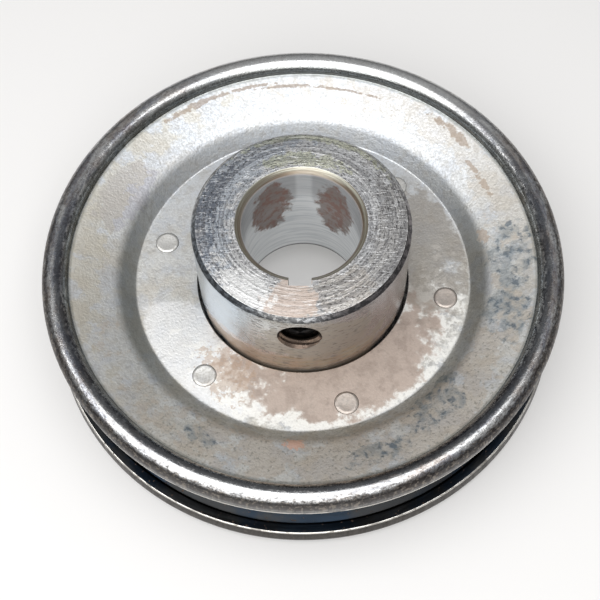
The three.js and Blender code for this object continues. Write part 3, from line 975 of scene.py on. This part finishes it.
# Painted highlight: the white patch where the lathe's rings catch the light.
painted_ring_highlight = stain_at(tree, here, -124, 18, 19.5, 4.0, ragged=1.6, grain=1.6)
beige = stain_at(tree, here, -95, 17, 18.6, 6.5, ragged=0.8, grain=2.2)
beige_grey = stain_at(tree, here, -66, 25, 18.6, 6.0, ragged=1.4, grain=3.0)
inner_straw = stain_at(tree, here, 88, 36, 16.2, 1.8, ragged=1.6, grain=2.0)
outer_straw = stain_at(tree, here, 80, 48, 21.8, 1.0, ragged=1.8, grain=2.0)
straw = add(tree, "ShaderNodeMath", {0: inner_straw, 1: outer_straw}, operation="MAXIMUM")
skin = laid(tree, skin, ("#C6C8CC", wide_rings, 0.5), ("#ABBACC", blue_side, 0.5),
            ("#31435C", navy, 0.6), ("#8A847D", dark_right, 0.5), ("#E0E2C0", straw, 0.6),
            ("#5E5F66", pebbled, 0.32), ("#CFC8C0", beige_grey, 0.7), ("#5C5C62", rings, 0.45),
            ("#353334", dents, 0.65), ("#CDBCB0", beige, 0.8), ("#FDFDFC", painted_ring_highlight, 0.6),
            ("#FDFDFD", scratched, 0.75))
rough = level(tree, 0.28, (pebbled, 0.1), (beige, 0.12), (scratched, -0.05))
metallic = level(tree, 1.0, (beige, -0.2))
relief = level(tree, 0.0, (rings, 0.018), (wide_rings, 0.008), (pebbled, -0.010), (dents, -0.010),
               (scratched, -0.010))
surface(hub_face, skin, rough, metallic, relief)

# %% [markdown]
# ## The hub's barrel
# The turned lines are stacked up the barrel. Painted reflections tint it bluish on the side
# towards the light and mauve on the other side.
# Grease has dried to a yellow-brown tide low down, and round the screw there are dark smears. The
# corner to the end face is dark with knocks.

# %% Hub barrel
hub_side, tree, here, skin = start_steel("zinc_plated_turned_barrel", "#CDD0D2")
turned_lines = patches(tree, round_the_axis(tree, here, HUB_R, 40.0, 0.5, "height"), 1.0,
                       0.40, 0.62, detail=2.0)
soft_cloud = patches(tree, here["place"], 6.0, 0.42, 0.62)
grime = stain_at(tree, here, -80, 34, 26.0, 9.0, ragged=1.2, grain=6.0, across="height")
tide = stain_at(tree, here, -88, 58, 17.0, 4.5, ragged=1.0, grain=7.0, across="height")
straw_tide = stain_at(tree, here, -116, 34, 18.0, 4.0, ragged=1.0, grain=9.0, across="height")
# Painted reflections: bluish on the side towards the light, mauve on the other side.
painted_sky_reflection = towards(tree, here, -150, 22, 48)
mauve = towards(tree, here, -30, 30, 62)
smears = patches(tree, round_the_axis(tree, here, HUB_R, 1.6, 0.5, "height"), 1.0, 0.53, 0.64)
near_hole = towards(tree, here, -86, 20, 46)
smears = add(tree, "ShaderNodeMath", {0: smears, 1: near_hole}, operation="MULTIPLY")
corner = band(tree, here["height"], HUB_TOP - HUB_CHAMFER, HUB_TOP, 0.2)
knocks = patches(tree, round_the_axis(tree, here, HUB_R, 1.1, 0.5), 1.0, 0.44, 0.54)
knocks = level(tree, 0.35, (knocks, 0.65))
knocks = add(tree, "ShaderNodeMath", {0: knocks, 1: corner}, operation="MULTIPLY")
skin = laid(tree, skin, ("#B9B4AC", soft_cloud, 0.5), ("#9AAABA", painted_sky_reflection, 0.65),
            ("#978C8E", mauve, 0.75), ("#CFB19D", straw_tide, 0.35), ("#A3855F", tide, 0.6),
            ("#A0927A", grime, 0.55), ("#3F362C", smears, 0.6), ("#A6A6A6", turned_lines, 0.3),
            ("#3F4042", knocks, 0.8))
rough = level(tree, 0.26, (grime, 0.14), (tide, 0.15), (smears, 0.1))
metallic = level(tree, 1.0, (grime, -0.25), (tide, -0.3), (smears, -0.3))
relief = level(tree, 0.0, (turned_lines, 0.010), (smears, 0.01))
surface(hub_side, skin, rough, metallic, relief)

# %% [markdown]
# ## The bore
# The bore is reamed and pale blue-grey. Its upper end is greyer, as painted shade, except in a
# strip opposite the keyway, where less is painted as a painted highlight. A damp shaft has left two
# brown patches on either side of that strip. The chamfers are ringed with straw and brown, and a
# painted shadow darkens the rear end. Reaming marks are drawn coarser than they are, so that they
# show.

# %% Bore and its chamfers
bore, tree, here, skin = start_steel("reamed_bore", "#F2F6F8")
reamed = patches(tree, round_the_axis(tree, here, BORE_R, 9.0, 0.6, "height"), 1.0, 0.40, 0.64,
                 detail=3.0)
# Painted shade on the upper end of the bore, halved in a lighter strip opposite the keyway.
painted_light_strip = towards(tree, here, 89, 5, 10)
shade_top = band(tree, here["height"], 31.0, 40.0, 6.0)
shade_top = add(tree, "ShaderNodeMath", {0: painted_light_strip, 1: -0.5, 2: shade_top},
                operation="MULTIPLY_ADD", use_clamp=True)
rust_left = stain_at(tree, here, 126, 24, 27.5, 8.5, ragged=0.7, grain=3.2, across="height")
rust_right = stain_at(tree, here, 55, 22, 26.5, 8.5, ragged=0.7, grain=3.2, across="height")
rust = add(tree, "ShaderNodeMath", {0: rust_left, 1: rust_right}, operation="MAXIMUM")
rust_clouds = patches(tree, here["place"], 1.8, 0.45, 0.6)
deep_rust = add(tree, "ShaderNodeMath", {0: rust, 1: rust_clouds}, operation="MULTIPLY")
on_chamfer = band(tree, here["radius"], BORE_R + 0.3, HUB_R, 0.15)
rings = patches(tree, round_the_axis(tree, here, BORE_R, 14.0, 0.35), 1.0, 0.42, 0.58)
rings = add(tree, "ShaderNodeMath", {0: rings, 1: on_chamfer}, operation="MULTIPLY")
dark_ring = band(tree, here["radius"], BORE_R + 0.1, BORE_R + 0.6, 0.15)
# Painted shadow at the bore's rear end.
painted_shadow_rear = band(tree, here["height"], 0, HUB_BOTTOM + 1.6, 0.5)
skin = laid(tree, skin, ("#C6CED3", reamed, 0.5), ("#85888C", shade_top, 0.6),
            ("#75665F", rust, 0.8), ("#85584A", deep_rust, 0.6), ("#D6D3BE", on_chamfer, 0.7),
            ("#7E6A55", rings, 0.6), ("#7A5F4C", dark_ring, 0.5), ("#3B3835", painted_shadow_rear, 0.85))
rough = level(tree, 0.36, (reamed, 0.1), (rust, 0.25))
metallic = level(tree, 0.30, (rust, -0.2), (on_chamfer, 0.65))
relief = level(tree, 0.0, (reamed, 0.012), (rust, 0.015))
surface(bore, skin, rough, metallic, relief)

# %% [markdown]
# ## The screw hole
# The drilled and tapped hole is black: partly old oil, partly painted shade deep in the hole.
# The lower side of its mouth is painted brown-grey: painted light, where light falls into the
# mouth.

# %% Screw hole: oil, painted shade and painted light
# Black: partly old oil, partly painted shade deep in the hole.
dark_screw_hole, tree, here, skin = start_steel("screw_hole_oil_and_painted_shade", "#2C2621")
oil = patches(tree, here["place"], 1.6, 0.42, 0.60)
# Painted light on the lower side of the mouth.
low_side = band(tree, here["height"], 0, SCREW_Z - 1.6, 1.0)
at_mouth = band(tree, here["radius"], HUB_R - 1.2, HUB_R, 0.7)
painted_lit_mouth = add(tree, "ShaderNodeMath", {0: low_side, 1: at_mouth}, operation="MULTIPLY")
skin = laid(tree, skin, ("#16120F", oil, 0.8), ("#9A877A", painted_lit_mouth, 0.85))
rough = level(tree, 0.35, (oil, -0.1))
surface(dark_screw_hole, skin, rough, 0.9, level(tree, 0.0, (oil, 0.02)))

# %% [markdown]
# ## The screw's black oxide
# Black oxide is a thin, dry skin that dust dulls and rust browns. It rubs off a thread's crests,
# so the distance from the screw's own axis says where bare steel shows.

# %% Black oxide
CREST_R = SCREW_R - 0.12

oxide, tree, here, skin = start_steel("black_oxide", "#2B2A2B")
from_screw = add(tree, "ShaderNodeVectorMath", {0: here["place"], 1: (0, 0, SCREW_Z)},
                 operation="SUBTRACT")
from_screw = add(tree, "ShaderNodeVectorMath", {0: from_screw, 1: (1, 0, 1)}, operation="MULTIPLY")
from_screw = add(tree, "ShaderNodeVectorMath", {0: from_screw}, out="Value", operation="LENGTH")
crests = band(tree, from_screw, CREST_R, 2 * CREST_R, 0.12)
dusty = patches(tree, here["place"], 1.2, 0.45, 0.65)
browned = patches(tree, here["place"], 2.2, 0.55, 0.68)
skin = laid(tree, skin, ("#474442", dusty, 0.7), ("#5A3F2E", browned, 0.6),
            ("#A8A39C", crests, 0.7))
rough = level(tree, 0.38, (dusty, 0.15), (crests, -0.1))
metallic = level(tree, 0.9, (browned, -0.5))
surface(oxide, skin, rough, metallic, level(tree, 0.0, (dusty, 0.01)))

# %% [markdown]
# ## The rivets' plating
# Rivet heads are plated like the sheet, with a finer grain where the setting tool struck them. The
# ones on the worn side of the web have gone beige with it.

# %% Rivet heads
rivet_steel, tree, here, skin = start_steel("zinc_plated_rivet", "#DFDEDB")
struck = patches(tree, here["place"], 0.5, 0.40, 0.64, detail=3.0)
cloudy = patches(tree, here["place"], 2.0, 0.45, 0.62)
worn_side = towards(tree, here, -50, 50, 85)
skin = laid(tree, skin, ("#C6C2BA", cloudy, 0.6), ("#BBADA3", worn_side, 0.75),
            ("#A9A7A2", struck, 0.35))
rough = level(tree, 0.42, (struck, 0.1), (cloudy, 0.06))
relief = level(tree, 0.0, (struck, 0.012), (cloudy, -0.02))
surface(rivet_steel, skin, rough, 1.0, relief)

# %% [markdown]
# ## The weld
# Weld metal is duller than the rest, because plating takes badly on it. Heat has left blue in it,
# scale sits in patches, and smoke has blackened it next to the hub.

# %% Weld metal
weld_steel, tree, here, skin = start_steel("zinc_plated_weld", "#A5A4A0")
scaly = patches(tree, here["place"], 1.6, 0.48, 0.62)
heat_blue = patches(tree, here["place"], 5.0, 0.45, 0.62)
smoke = band(tree, here["radius"], 0, HUB_R + 0.6, 0.7)
skin = laid(tree, skin, ("#7C8796", heat_blue, 0.5), ("#6B625A", scaly, 0.6),
            ("#3E3A37", smoke, 0.6))
rough = level(tree, 0.42, (scaly, 0.15))
surface(weld_steel, skin, rough, 1.0, level(tree, 0.0, (scaly, 0.03)))

# %% [markdown]
# ## Which face gets which finish
# A pressed sheet has one finish outside, another in the groove and a third where it was sheared.
# A face's place and the way it faces say which it is, so no face is picked by hand.

# %% Choose a finish by place and normal
LIP_CORNER = 0.35  # how far the bare edge reaches from the lip's outer corner
SHEET_FINISHES = (sheet, bead, groove, cut_edge)
HUB_FINISHES = (hub_face, hub_side, bore, dark_screw_hole)


def sheave_zone(centre, normal):
    """0 for sheet, 1 for bead, 2 for groove wall and 3 for a sheared edge."""
    side = 1 if centre.z > JOINT_Z else -1
    radius = math.hypot(centre.x, centre.y)
    height = side * (centre.z - JOINT_Z)
    outwards = (normal.x * centre.x + normal.y * centre.y) / radius
    from_bead = math.hypot(radius - (RIM_R - BEAD_R), max(0.0, height - CREASE_H))
    if height < LIP_H + LIP_CORNER and radius > LIP_R - LIP_CORNER:
        return 3
    if radius > CREASE_R - 0.2 and (from_bead > BEAD_R - 0.3 or outwards > 0.9):
        if height > CREASE_H - 0.2 or radius > LIP_R - 0.6:
            return 1
    if radius < WEB_HOLE_R + 0.3:
        return 3
    return 0 if side * normal.z > 0.05 else 2


def hub_zone(centre, normal):
    """0 for an end face, 1 for the barrel, 2 for the bore and 3 for the screw hole."""
    radius = math.hypot(centre.x, centre.y)
    if math.hypot(centre.x, centre.z - SCREW_Z) < MOUTH_R + 0.15 and centre.y < -BORE_R + 0.4:
        if radius < HUB_R - 0.05 and abs(normal.z) + abs(normal.x) > 0.3:
            return 3
    if abs(normal.z) > 0.9:
        return 0
    return 1 if radius > HUB_R - HUB_CHAMFER - 0.1 else 2


def give_finishes(piece, finishes, zone):
    """Gives each face of a piece the finish that its zone says."""
    piece.data.materials.clear()
    for finish in finishes:
        piece.data.materials.append(finish)
    counts = [0] * len(finishes)
    for face in piece.data.polygons:
        face.material_index = zone(face.center / MM, face.normal)
        counts[face.material_index] += 1
    print(piece.name, "faces for each finish:", counts)


for half, node in ((front_half, "front_sheave"), (rear_half, "rear_sheave")):
    give_finishes(half, SHEET_FINISHES, sheave_zone)
    finish_piece(half, "pulley", "zinc_sheet", node)
give_finishes(hub_piece, HUB_FINISHES, hub_zone)
finish_piece(hub_piece, "pulley", "zinc_turned", "hub")

# %% [markdown]
# The screw, the rivets and the weld were each made in one way, so each has one finish. Only the
# screw moves by itself: everything else is fixed to the pulley.

# %% The small pieces
screw_piece.data.materials.clear()
screw_piece.data.materials.append(oxide)
finish_piece(screw_piece, "set_screw", "black_oxide", "set_screw")
for i, piece in enumerate(rivet_pieces):
    piece.data.materials.append(rivet_steel)
    finish_piece(piece, "pulley", "rivet_head", f"rivet_{i + 1}")
weld_piece.data.materials.append(weld_steel)
finish_piece(weld_piece, "pulley", "weld_metal", "hub_weld")
